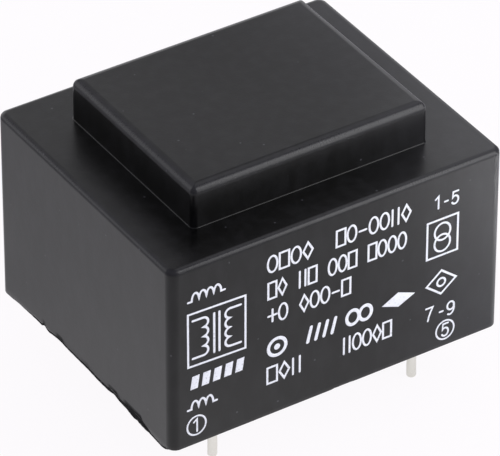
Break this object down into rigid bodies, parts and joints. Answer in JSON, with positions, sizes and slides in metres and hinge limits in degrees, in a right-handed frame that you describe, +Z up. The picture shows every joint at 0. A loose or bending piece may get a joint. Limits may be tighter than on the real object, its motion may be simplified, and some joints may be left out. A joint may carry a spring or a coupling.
{
  "type": "pcb transformer",
  "caption": "Potted mains transformer for a circuit board: black cup with a raised top over the coil, and round tinned pins under its long sides.",
  "frame": {"origin": "middle of the footprint on the seating plane, where the cup's rim meets the board", "axes": "+Z up away from the board; +X along the long printed side, which faces -Y; pins reach below z = 0"},
  "size_m": [0.0322, 0.0272, 0.0273],
  "materials": {
    "housing_plastic": "satin black moulded thermoplastic, slightly speckled",
    "resin": "black cast resin, semi-gloss where it set in the open",
    "bobbin_plastic": "natural glass-filled nylon",
    "core_steel": "coated silicon steel sheet with bare stamped edges",
    "winding_copper": "enamelled copper wire",
    "tape": "yellow polyester film",
    "pin_tin": "hot-tinned copper wire, satin",
    "solder": "soft solder",
    "print_white": "white pad-printed ink, found only on the visual model"
  },
  "bodies": {
    "root": {"bobbin": "bobbin_plastic", "e_lamination_01": "core_steel", "e_lamination_02": "core_steel", "e_lamination_03": "core_steel", "e_lamination_04": "core_steel", "e_lamination_05": "core_steel", "e_lamination_06": "core_steel", "e_lamination_07": "core_steel", "e_lamination_08": "core_steel", "e_lamination_09": "core_steel", "e_lamination_10": "core_steel", "e_lamination_11": "core_steel", "e_lamination_12": "core_steel", "e_lamination_13": "core_steel", "e_lamination_14": "core_steel", "e_lamination_15": "core_steel", "e_lamination_16": "core_steel", "e_lamination_17": "core_steel", "e_lamination_18": "core_steel", "e_lamination_19": "core_steel", "e_lamination_20": "core_steel", "e_lamination_21": "core_steel", "housing": "housing_plastic", "i_lamination_01": "core_steel", "i_lamination_02": "core_steel", "i_lamination_03": "core_steel", "i_lamination_04": "core_steel", "i_lamination_05": "core_steel", "i_lamination_06": "core_steel", "i_lamination_07": "core_steel", "i_lamination_08": "core_steel", "i_lamination_09": "core_steel", "i_lamination_10": "core_steel", "i_lamination_11": "core_steel", "i_lamination_12": "core_steel", "i_lamination_13": "core_steel", "i_lamination_14": "core_steel", "i_lamination_15": "core_steel", "i_lamination_16": "core_steel", "i_lamination_17": "core_steel", "i_lamination_18": "core_steel", "i_lamination_19": "core_steel", "i_lamination_20": "core_steel", "i_lamination_21": "core_steel", "pin_1": "pin_tin", "pin_5": "pin_tin", "pin_7": "pin_tin", "pin_9": "pin_tin", "potting_resin": "resin", "primary_tape": "tape", "primary_winding": "winding_copper", "secondary_tape": "tape", "secondary_winding": "winding_copper", "solder_1": "solder", "solder_5": "solder", "solder_7": "solder", "solder_9": "solder"}
  },
  "joints": []
}
